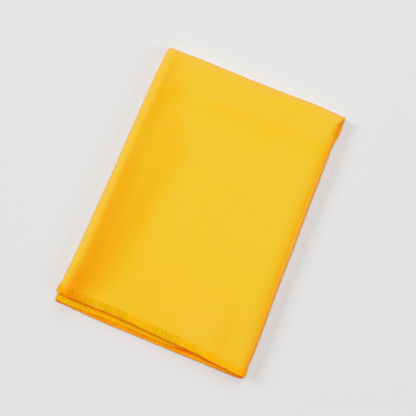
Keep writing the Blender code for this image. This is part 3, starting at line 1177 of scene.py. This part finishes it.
@dataclass
class ClothShades:
    """The cloth's masks: painted shade and sheen, its hems, and painted shade lines between
    layers.
    """

    cloth: FoldedCloth

    # Under the overlock, in shares of the hem's band.
    hem_mask_start: float = 0.85
    hem_mask_fade: float = 0.20

    # Painted shade of the nap, and below 0 painted light.
    core_start: float = 0.0090
    pale_sheen_wrap: float = 0.0030
    flap_light: float = -0.30
    lowest_shade: float = 0.70
    fold_shade: float = 0.92
    covered_shade: float = 0.95
    back_shade: float = 0.30
    side_fade: float = 0.03                  # in panels, where the right side's painted shade starts
    side_end: float = 0.09                   # in panels of the inner flap, where it ends
    side_end_fade: float = 0.05

    # The painted shade lines between the layers, and their painted glow.
    flap_crevice: float = 0.0017
    lowest_crevice: float = 0.0014
    gap_crevice: float = 0.0008
    gap_start: float = 0.086
    gap_end: float = 0.122
    gap_fade: float = 0.010
    side_crevice: float = 0.0014
    side_lead: float = 0.2                   # how far up the crease the side line starts
    turn_rate: float = 6.0                   # how fast a line fades round a fold, in each panel
    # Where the round of the right fold by the back corner takes the painted glow.
    corner_spot: float = 0.1885
    corner_run: float = 0.0060
    corner_start: float = 0.176
    corner_glow_depth: float = 3.2
    corner_from: float = 0.2                 # in panels of the right fold
    corner_to: float = 0.05                  # in panels of the inner flap

    def on_face(self, place: np.ndarray, way: np.ndarray) -> tuple[np.ndarray, np.ndarray]:
        """Where points of the upper half lie as seen from above.

        Args:
            place: places across the sheet, 0 to 5.
            way: places along the sheet, 0 to 3.

        Returns:
            Distances from the left edge, and from the lowest hem.
        """
        along = self.cloth.from_hems(place, np.minimum(way, CREASE_START))[2]
        across = self.cloth.from_left(place, along, np.zeros_like(along))
        turn = np.clip(way, CREASE_START, CREASE_MIDDLE) - CREASE_START
        return across, along + self.cloth.middle * np.sin(math.pi * turn)

    def shade_mask(self, place: np.ndarray, way: np.ndarray) -> np.ndarray:
        """Depth of the painted shade.

        Args:
            place: places across the sheet, 0 to 5.
            way: places along the sheet, 0 to 3.

        Returns:
            The depths: above 0 towards amber painted shade, below 0 towards painted light.
        """
        across, along = self.on_face(place, way)
        row = {name: smooth_read(SHADE_ROWS, along, name) for name in ShadeRow.__annotations__}
        # Painted shade: amber in the valley by the left fold and in the round of the right fold.
        rise = ease((across - row["start"]) / (row["full"] - row["start"]))
        core = 1 - ease((across - self.core_start) / (row["core_end"] - self.core_start))
        shelf_run = row["shelf_end"] - row["shelf_start"]
        shelf = 1 - ease((across - row["shelf_start"]) / shelf_run)
        valley = (row["core"] * core + row["shelf"] * shelf) * rise
        from_right = (1 - np.clip(place - FACE, 0.0, 1.0)) * self.cloth.face_width
        rounding = smooth_read(ROUND_SHADE_ACROSS, from_right / row["rounding"])
        # Painted shade over the whole face and along the wrinkles.
        tone = smooth_read(FACE_SHADE, along) + wrinkle_sum(across, along, "depth")
        shown = (place >= LEFT_FOLD) & (place <= RIGHT_FOLD) & (way <= CREASE_END)
        face = np.minimum(valley + rounding + tone, 1.0)
        return np.where(shown, face, self.hidden_shade(place, way))

    def sheen_mask(self, place: np.ndarray, way: np.ndarray) -> np.ndarray:
        """Painted sheen of the nap.

        Args:
            place: places across the sheet, 0 to 5.
            way: places along the sheet, 0 to 3.

        Returns:
            The painted sheen: above 0 pale painted sheen, below 0 painted dull shade.
        """
        across, along = self.on_face(place, way)
        # Painted sheen on the left fold, beside the right fold, over the face and on the wrinkles.
        on_face = np.clip(place - FACE, 0.0, 1.0)
        wrap = (1 - np.clip(place - LEFT_FOLD, 0.0, 1.0)) * self.pale_sheen_wrap
        pale_sheen = smooth_read(PALE_SHEEN_ACROSS, on_face * self.cloth.face_width - wrap)
        pale_sheen = pale_sheen * smooth_read(SHADE_ROWS, along, "pale_sheen")
        open_side = np.clip(2 * smooth_read(SHADE_ROWS, along, "rounding") - 1, 0.0, 1.0)
        side_sheen = smooth_read(SIDE_SHEEN_ACROSS, (1 - on_face) * self.cloth.face_width) * open_side
        face = smooth_read(FACE_SHEEN, along) + wrinkle_sum(across, along, "painted_sheen")
        shown = (place >= LEFT_FOLD) & (place <= RIGHT_FOLD + 0.5)
        behind = ease((way - CREASE_MIDDLE) / (CREASE_END - CREASE_MIDDLE))
        return np.where(shown, pale_sheen + side_sheen + face, 0.0) * (1 - behind)

    def hidden_shade(self, place: np.ndarray, way: np.ndarray) -> np.ndarray:
        """Painted shade off the upper face, and painted light by the hem of the lower flap and
        left fold.

        Args:
            place: places across the sheet, 0 to 5.
            way: places along the sheet, 0 to 3.

        Returns:
            The depths, as shade_mask gives them.
        """
        below = (way > CREASE_END) & (place <= RIGHT_FOLD)
        from_hem = np.minimum(way, SHEET_END - way) * self.cloth.crease_axis
        back = ease((from_hem - self.cloth.hem_band * 2) / self.cloth.hem_band)
        # Painted light by the lower flap's hem; painted shade on the lowest hem, hidden layers and
        # right fold.
        near_hem = np.where(place < FACE, self.flap_light, self.lowest_shade)
        near_hem = np.where(below, near_hem, self.covered_shade)
        near_hem = np.where(place > RIGHT_FOLD, self.fold_shade, near_hem)
        deep_shade = near_hem + (self.back_shade - near_hem) * back
        side = ease((place - RIGHT_FOLD + self.side_fade) / self.side_fade)
        side = side * ease((INNER + self.side_end - place) / self.side_end_fade)
        return deep_shade + (self.fold_shade - deep_shade) * side

    def hem_line(self, place: np.ndarray, along: np.ndarray, across: np.ndarray) -> np.ndarray:
        """How far points of the lower half lie inside the painted shade line beside a covering
        hem.

        Args:
            place: places across the sheet, 0 to 5.
            along: distances from the lowest hem.
            across: distances from the left edge.

        Returns:
            The depths in millimetres, below 0 outside the line.
        """
        on_face = FACE + np.clip(across / self.cloth.face_width, 0.0, 1.0)
        flap_width = self.cloth.face_width - self.cloth.flap_clearance
        on_flap = 1 - np.clip(across / flap_width, 0.0, 1.0)
        under_face = self.cloth.hem_edge(on_face, True)
        under_flap = self.cloth.hem_edge(on_flap, False)
        is_flap = place < FACE
        cover = np.where(is_flap, under_face, np.minimum(under_face, under_flap))
        gap = ease((across - self.gap_start) / self.gap_fade)
        gap = gap * ease((self.gap_end - across) / self.gap_fade)
        run = np.where(is_flap, self.flap_crevice, self.lowest_crevice + self.gap_crevice * gap)
        in_fold = np.minimum(place - LEFT_FOLD, FACE - place) * self.turn_rate
        faded = OPEN_DEPTH * np.clip(in_fold, 0.0, 1.0)
        return (along - cover + run) * MILLIMETRES - faded

    def side_line(self, along: np.ndarray, across: np.ndarray) -> np.ndarray:
        """How far points lie inside the painted shade line under the upper right fold.

        Args:
            along: distances from the lowest hem.
            across: distances from the left edge.

        Returns:
            The depths in millimetres, below 0 outside the line.
        """
        outermost = np.full_like(along, RIGHT_FOLD + 0.5)
        over_right = self.cloth.from_left(outermost, along, np.zeros_like(along))
        depth = over_right - across + self.side_crevice
        from_corner = np.abs(along - self.corner_spot) / self.corner_run
        return depth * MILLIMETRES - OPEN_DEPTH * ease(from_corner - 0.5)

    def shade_line_mask(self, place: np.ndarray, way: np.ndarray) -> np.ndarray:
        """How far points lie inside a painted shade line between the layers.

        There is one beside each covering hem, one under the upper right fold by the back
        corner, and the round of the right fold at that corner lies a little way inside, so that
        it takes the painted glow.

        Args:
            place: places across the sheet, 0 to 5.
            way: places along the sheet, 0 to 3.

        Returns:
            The depths in millimetres, below 0 outside the lines.
        """
        along = self.cloth.from_hems(place, way)[2]
        across = self.cloth.from_left(place, along, np.ones_like(along))
        below = (way > CREASE_END) & (place <= RIGHT_FOLD)
        beside = (place > RIGHT_FOLD) & (place < INNER + self.side_end)
        beside = beside & (way > CREASE_END - self.side_lead)
        line = np.where(beside, self.side_line(along, across), -OPEN_DEPTH)
        line = np.where(below, self.hem_line(place, along, across), line)
        near_corner = ease((along - self.corner_start) / self.corner_run)
        in_fold = np.minimum(place - RIGHT_FOLD - self.corner_from, INNER + self.corner_to - place)
        in_fold = np.clip(in_fold * self.turn_rate, 0.0, 1.0)
        line = np.maximum(line, self.corner_glow_depth * near_corner * in_fold - OPEN_DEPTH)
        return np.clip(line, -OPEN_DEPTH, OPEN_DEPTH)

    def hem_mask(self, place: np.ndarray, way: np.ndarray) -> np.ndarray:
        """Where the cloth lies under the overlock.

        Args:
            place: places across the sheet, 0 to 5.
            way: places along the sheet, 0 to 3.

        Returns:
            1 under the overlock and 0 on the open cloth.
        """
        from_ends = np.minimum(way, SHEET_END - way) * self.cloth.crease_axis
        flat = self.cloth.flat_across(place) * self.cloth.flat_side
        from_sides = np.minimum(flat, self.cloth.flat_side - flat)
        bands = np.minimum(from_ends, from_sides) / self.cloth.hem_band
        return 1 - ease((bands - self.hem_mask_start) / self.hem_mask_fade)

    def masks(self, place: np.ndarray, way: np.ndarray) -> dict[str, np.ndarray]:
        """All masks of the cloth.

        Args:
            place: places across the sheet, 0 to 5.
            way: places along the sheet, 0 to 3.

        Returns:
            The masks by name.
        """
        return {
            PAINTED_SHADE_MASK: self.shade_mask(place, way),
            PAINTED_SHEEN_MASK: self.sheen_mask(place, way),
            SHADE_LINE_MASK: self.shade_line_mask(place, way),
            HEM_MASK: self.hem_mask(place, way),
        }


# --------------------------------------------------------------------------- overlock


class Hem(Enum):
    """The four cut edges of the sheet."""

    UPPER_END = "upper_end"
    LOWER_END = "lower_end"
    UNDER_SIDE = "under_side"
    INNER_SIDE = "inner_side"


ENDS = (Hem.UPPER_END, Hem.LOWER_END)
SIDES = (Hem.UNDER_SIDE, Hem.INNER_SIDE)


def pull_strand(
    route: Sequence[Vector],
    leans: Sequence[float],
    swells: Sequence[float],
    half_size: tuple[float, float],
    sides: int,
) -> bpy.types.Object:
    """Model one strand of yarn: a flat ring, extruded from point to point of its route.

    Args:
        route: the middle of the strand; it leaves the first point along X.
        leans: the turn of the ring about Y at each point, in degrees.
        swells: the size of the ring at each point, as a share of the full one.
        half_size: half the strand's width along Y and half its height.
        sides: the number of its long faces.

    Returns:
        The strand, closed at both ends.
    """
    deselect_all()
    bpy.ops.mesh.primitive_circle_add(
        vertices=sides,
        radius=1.0,
        fill_type="NGON",
        location=route[0],
        rotation=(0.0, math.pi / 2, 0.0),
    )
    strand = bpy.context.object
    bpy.ops.object.transform_apply(location=True, rotation=True, scale=True)
    bpy.ops.object.mode_set(mode="EDIT")
    bpy.ops.mesh.select_all(action="SELECT")
    first = [1.0, half_size[0] * swells[0], half_size[1] * swells[0]]
    bpy.ops.transform.resize(value=first, center_override=route[0])
    for number in range(1, len(route)):
        step = route[number] - route[number - 1]
        bpy.ops.mesh.extrude_region_move(TRANSFORM_OT_translate={"value": step})
        growth = swells[number] / swells[number - 1]
        bpy.ops.transform.resize(value=[growth] * 3, center_override=route[number])
        turn = math.radians(leans[number] - leans[number - 1])
        if turn:
            bpy.ops.transform.rotate(value=turn, orient_axis="Y", center_override=route[number])
    bpy.ops.mesh.select_all(action="SELECT")
    bpy.ops.mesh.normals_make_consistent(inside=False)
    bpy.ops.object.mode_set(mode="OBJECT")
    return strand


@dataclass
class Overlock:
    """Overlock yarn along the cut edges, one stitch repeated along each hem."""

    cloth: FoldedCloth

    # One stitch: shares are of the band.
    pitch: float = 0.00167
    band: float = 0.0050
    slant: float = 0.21
    yarn_width: float = 0.00078
    yarn_height: float = 0.00009
    yarn_sides: int = 6
    seat: float = 0.00010
    overhang: float = 0.00030
    loop_start: float = 0.10
    loop_end: float = 0.86
    tip_swell: float = 0.5
    dash_share: float = 0.93
    dash_reach: float = 0.36                 # half its length, in pitches
    dash_rise: float = 0.7                   # in heights of the yarn
    dash_size: float = 0.00012
    dash_swell: float = 0.6
    dash_sides: int = 4

    # The row of stitches.
    walk_steps: int = 4000
    step: float = 0.0004                     # over which the slope of the cloth is taken
    flap_run: float = 0.1290                 # width of an outer panel
    hem_start: float = 0.005                 # mean distance of the cut ends from the front
    first_seed: int = 11
    place_drift: float = 0.00005
    reach_drift: float = 0.05
    sinking: float = 0.00014
    sink_waves: tuple = (0.047, 0.029, 0.013)
    calm_from: float = 2.58                  # the place along a hem from where yarn lies deep
    calm_gain: float = 3.0

    # Its shades: knots, and a painted shade line on the yarn round the cut edge.
    knots_from: float = 2.66                 # in panels, where knots show
    knots_to: float = 2.94
    knots_fade: float = 0.03
    no_knots: float = 5.0                    # millimetres added to the knot mask elsewhere
    wrap_shade_line: float = 0.60                  # millimetres inside the painted shade line, on the yarn round the cut edge
    wrap_start: float = 0.00055
    wrap_gain: float = 1.5

    def __post_init__(self) -> None:
        """Model the stitch, and take the shades of the cloth."""
        self.stitch = self.model_stitch()
        self.shades = ClothShades(self.cloth)

    def model_stitch(self) -> tuple[np.ndarray, list]:
        """Model one stitch: a looper strand round the cut edge, and a needle dash.

        The hem's own axes are X inward from the cut edge, Y along it and Z off the cloth.

        Returns:
            The stitch's vertices and faces.
        """
        top = self.cloth.thickness / 2 + self.seat
        drift = -self.slant * self.band
        rows = [(1.0, top - self.yarn_height), (self.loop_end, top), (self.loop_start, top)]
        over = [Vector((self.band * share, drift * share, height)) for share, height in rows]
        under = [Vector((point.x, point.y, -point.z)) for point in reversed(over)]
        route = [*over, Vector((-self.overhang, 0.0, 0.0)), *under]
        leans = (0, 0, 0, 90, 180, 180, 180)
        swells = (self.tip_swell, 1.0, 1.0, 1.0, 1.0, 1.0, self.tip_swell)
        flat = (self.yarn_width, self.yarn_height)
        looper = pull_strand(route, leans, swells, flat, self.yarn_sides)

        height = top + self.yarn_height * self.dash_rise
        place = Vector((self.band * self.dash_share, drift * self.dash_share, height))
        reach = Vector((0.0, self.dash_reach * self.pitch, 0.0))
        sink = Vector((0.0, 0.0, -self.yarn_height))
        dash_route = [place - reach + sink, place, place + reach + sink]
        dash_swells = (self.dash_swell, 1.0, self.dash_swell)
        round_size = (self.dash_size, self.dash_size)
        needle = pull_strand(dash_route, (0, 0, 0), dash_swells, round_size, self.dash_sides)

        vertices, faces, start = [], [], 0
        for strand in (looper, needle):
            mesh = strand.data
            points = np.empty(len(mesh.vertices) * 3)
            mesh.vertices.foreach_get("co", points)
            vertices.append(points.reshape(-1, 3))
            faces += [tuple(index + start for index in face.vertices) for face in mesh.polygons]
            start += len(mesh.vertices)
            bpy.data.objects.remove(strand)
        return np.concatenate(vertices), sorted(faces)

    def sheet_place(
        self, hem: Hem, travel: np.ndarray, inward: np.ndarray
    ) -> tuple[np.ndarray, np.ndarray]:
        """Place on the sheet of points near a hem.

        Args:
            hem: the cut edge.
            travel: the place along that edge, 0 to 5 on an end and 0 to 3 on a side.
            inward: the distance from the cut edge.

        Returns:
            The place across the sheet and the way along it.
        """
        run = inward / (self.cloth.crease_axis - self.hem_start)
        reach = inward / self.flap_run
        return {
            Hem.UPPER_END: (travel, run),
            Hem.LOWER_END: (travel, SHEET_END - run),
            Hem.UNDER_SIDE: (reach, travel),
            Hem.INNER_SIDE: (PANELS - reach, travel),
        }[hem]

    def near_hem(self, hem: Hem, travel: np.ndarray, inward: np.ndarray) -> np.ndarray:
        """Points of the middle of the cloth near a hem, placed as sheet_place does."""
        return self.cloth.points(*self.sheet_place(hem, travel, inward))

    def walk(self, hem: Hem) -> tuple[np.ndarray, np.ndarray]:
        """Walk along a cut edge.

        Args:
            hem: the cut edge.

        Returns:
            Places along the edge, and how far it is to each.
        """
        end = float(PANELS) if hem in ENDS else SHEET_END
        travel = np.linspace(0.0, end, self.walk_steps + 1)
        edge = self.near_hem(hem, travel, np.zeros_like(travel))
        steps = np.linalg.norm(np.diff(edge, axis=0), axis=1)
        return travel, np.concatenate([[0.0], np.cumsum(steps)])

    def lay(self, hem: Hem, seed: int) -> tuple[np.ndarray, list, dict[str, np.ndarray]]:
        """Repeat the stitch along one hem, on the folds of the cloth.

        Args:
            hem: the cut edge to sew.
            seed: the seed of its small unevenness.

        Returns:
            Vertices and faces of the whole row of stitches, and the masks at each vertex.
        """
        travel, run = self.walk(hem)
        count = int((run[-1] - 2 * self.pitch) / self.pitch)
        random = np.random.default_rng(seed)
        at = self.pitch * (1.0 + np.arange(count)) + random.normal(0.0, self.place_drift, count)
        spread = 1 + random.normal(0.0, self.reach_drift, count)
        stitch, faces = self.stitch
        sewn = 1.0 if hem in (Hem.UPPER_END, Hem.UNDER_SIDE) else -1.0
        lateral = at[:, None] + sewn * stitch[:, 1]
        inward = stitch[:, 0] * spread[:, None]
        calm = self.calm_gain * np.clip(np.interp(at, run, travel) - self.calm_from, 0.0, 1.0)
        calm = calm * (hem is not Hem.LOWER_END)
        sunk = self.sinking * ease(0.5 + waves(at, self.sink_waves, seed) + calm)
        off_edge = np.abs(stitch[:, 2]) > self.cloth.thickness / 4
        height = stitch[:, 2] - np.sign(stitch[:, 2]) * sunk[:, None] * off_edge

        place = np.interp(lateral, run, travel)
        on_cloth = np.maximum(inward, 0.0)
        middle = self.near_hem(hem, place, on_cloth)
        ahead = self.near_hem(hem, np.interp(lateral + self.step, run, travel), on_cloth)
        back = self.near_hem(hem, np.interp(lateral - self.step, run, travel), on_cloth)
        into = unit(self.near_hem(hem, place, on_cloth + self.step) - middle)
        normal = unit(np.cross(into, unit(ahead - back)))
        outside = np.minimum(inward, 0.0)[..., None] * into
        points = middle + outside + normal * height[..., None]
        polygons = [
            tuple(index + number * len(stitch) for index in polygon)
            for number in range(count)
            for polygon in faces
        ]
        return points.reshape(-1, 3), polygons, self.masks(hem, place, inward)

    def masks(self, hem: Hem, place: np.ndarray, inward: np.ndarray) -> dict[str, np.ndarray]:
        """Masks of the yarn: the cloth's painted shade below it, a painted shade line round
        the cut edge, and its knots.

        Args:
            hem: the cut edge.
            place: the place of each vertex along that edge.
            inward: its distance from the cut edge.

        Returns:
            The masks by name.
        """
        spots = self.sheet_place(hem, place, np.maximum(inward, 0.0))
        # Painted shade line on the yarn where it wraps round the cut edge.
        wrapped = self.wrap_gain * (self.wrap_start - inward) / (self.wrap_start + self.overhang)
        wrapped = (OPEN_DEPTH + self.wrap_shade_line) * ease(wrapped) - OPEN_DEPTH
        knots = ease((place - self.knots_from) / self.knots_fade)
        knots = knots * ease((self.knots_to - place) / self.knots_fade)
        knots = knots * (hem is Hem.LOWER_END)
        return {
            PAINTED_SHADE_MASK: self.shades.shade_mask(*spots),
            SHADE_LINE_MASK: np.maximum(self.shades.shade_line_mask(*spots), wrapped),
            KNOT_MASK: inward * MILLIMETRES + self.no_knots * (1 - knots),
        }

    def build(self, name: str, hems: Sequence[Hem]) -> bpy.types.Object:
        """Sew some of the hems as one piece.

        Args:
            name: the piece's name.
            hems: the cut edges that it covers.

        Returns:
            The piece.
        """
        vertices, faces, masks, start = [], [], [], 0
        for number, hem in enumerate(hems):
            points, polygons, mask = self.lay(hem, self.first_seed + number)
            vertices.append(points)
            masks.append(mask)
            faces += [tuple(index + start for index in polygon) for polygon in polygons]
            start += len(points)
        mesh = bpy.data.meshes.new(name)
        mesh.from_pydata(np.concatenate(vertices).tolist(), [], faces)
        shape = bmesh.new()
        shape.from_mesh(mesh)
        bmesh.ops.recalc_face_normals(shape, faces=shape.faces)
        shape.to_mesh(mesh)
        shape.free()
        whole = {label: np.concatenate([mask[label] for mask in masks]) for label in masks[0]}
        write_masks(mesh, whole)
        piece = bpy.data.objects.new(name, mesh)
        bpy.context.scene.collection.objects.link(piece)
        piece.data.shade_smooth()
        return piece

    def dress(self, piece: bpy.types.Object, material: bpy.types.Material) -> None:
        """Give the yarn its finish and let it ride with the towel.

        Args:
            piece: the sewn hems.
            material: the finish.
        """
        piece.data.materials.append(material)
        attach(piece, BODY)


# --------------------------------------------------------------------------- studio


@dataclass(frozen=True)
class Softbox:
    """A soft light: where it hangs as seen from the towel, its sides and its strength."""

    name: str
    azimuth: float
    elevation: float
    distance: float
    width: float
    length: float
    power: float


SOFTBOXES = table(
    Softbox,
    ("key_light", -90.0, 34.0, 4.0, 1.70, 1.70, 66.0),
    ("over_light", 0.0, 88.0, 3.0, 1.60, 2.10, 53.0),
    ("right_fill", 90.0, 36.0, 4.0, 1.90, 1.90, 32.0),
    ("high_back_fill", 180.0, 60.0, 3.0, 1.20, 1.20, 13.0),
    ("low_back_fill", 180.0, 40.0, 3.0, 1.00, 1.00, 13.0),
)


@dataclass
class Studio:
    """Pale floor, soft light and the camera."""

    floor_side: float = 6.0
    floor_drop: float = 0.0001
    sky: float = 0.018
    sky_colour: Colour = (1.0, 1.0, 1.0, 1.0)
    target: tuple = (0.0025, -0.00125, 0.008)
    distance: float = 0.481
    azimuth: float = 10.0
    elevation: float = 78.3
    roll: float = 12.1
    lens: float = 60.0

    def build_floor(self) -> bpy.types.Object:
        """Lay a wide pale floor under the towel.

        Returns:
            The floor.
        """
        deselect_all()
        bpy.ops.mesh.primitive_plane_add(
            size=self.floor_side, location=(0.0, 0.0, -self.floor_drop)
        )
        floor = bpy.context.object
        floor.name = "floor"
        bpy.ops.object.transform_apply(location=True, rotation=True, scale=True)
        floor.data.materials.append(FloorFinish().material())
        return floor

    def direction(self, azimuth: float, elevation: float) -> Vector:
        """Direction away from the towel.

        Args:
            azimuth: degrees from the hem side, to the right.
            elevation: degrees above the floor.

        Returns:
            The direction, 1 long.
        """
        turn, lift = math.radians(azimuth), math.radians(elevation)
        flat = math.cos(lift)
        return Vector((math.sin(turn) * flat, -math.cos(turn) * flat, math.sin(lift)))

    def hang(self, box: Softbox) -> None:
        """Hang one soft light, facing the towel.

        Args:
            box: the light.
        """
        light = bpy.data.lights.new(box.name, "AREA")
        light.energy = box.power
        light.shape = "RECTANGLE"
        light.size = box.width
        light.size_y = box.length
        lamp = bpy.data.objects.new(box.name, light)
        away = self.direction(box.azimuth, box.elevation)
        lamp.location = away * box.distance
        lamp.rotation_euler = (-away).to_track_quat("-Z", "Y").to_euler()
        bpy.context.scene.collection.objects.link(lamp)

    def build_lights(self) -> None:
        """Hang the soft lights and set a pale sky."""
        for box in SOFTBOXES:
            self.hang(box)
        world = bpy.data.worlds.new("studio")
        world.use_nodes = True
        background = world.node_tree.nodes["Background"]
        background.inputs["Color"].default_value = self.sky_colour
        background.inputs["Strength"].default_value = self.sky
        bpy.context.scene.world = world

    def build_camera(self) -> None:
        """Place the camera above the towel, leaning to the hem side and rolled."""
        away = self.direction(self.azimuth, self.elevation)
        camera = bpy.data.cameras.new("camera")
        camera.lens = self.lens
        holder = bpy.data.objects.new("camera", camera)
        holder.location = Vector(self.target) + away * self.distance
        look = (-away).to_track_quat("-Z", "Y")
        spin = Quaternion((0.0, 0.0, 1.0), math.radians(self.roll))
        holder.rotation_euler = (look @ spin).to_euler()
        bpy.context.scene.collection.objects.link(holder)
        bpy.context.scene.camera = holder

    def build(self) -> bpy.types.Object:
        """Set up the whole studio.

        Returns:
            Its floor.
        """
        floor = self.build_floor()
        self.build_lights()
        self.build_camera()
        bpy.context.scene.view_settings.view_transform = "Standard"
        return floor


def main() -> None:
    """Build the studio, the cloth and its overlock."""
    logging.basicConfig(level=logging.INFO, format="%(name)s: %(message)s")
    studio = Studio()
    floor = studio.build()
    LOG.info("%s: %.1f m wide, %d lights", floor.name, studio.floor_side, len(SOFTBOXES))
    sheet = FoldedCloth()
    cloth = sheet.build()
    overlock = Overlock(sheet)
    thread = ThreadFinish().material()
    ends = overlock.build("overlock_ends", ENDS)
    sides = overlock.build("overlock_sides", SIDES)
    for piece in (ends, sides):
        overlock.dress(piece, thread)
    sheet.dress(cloth, (ends, sides))
    for piece in (cloth, ends, sides):
        LOG.info("%s: %d faces", piece.name, len(piece.data.polygons))


if __name__ == "__main__":
    main()
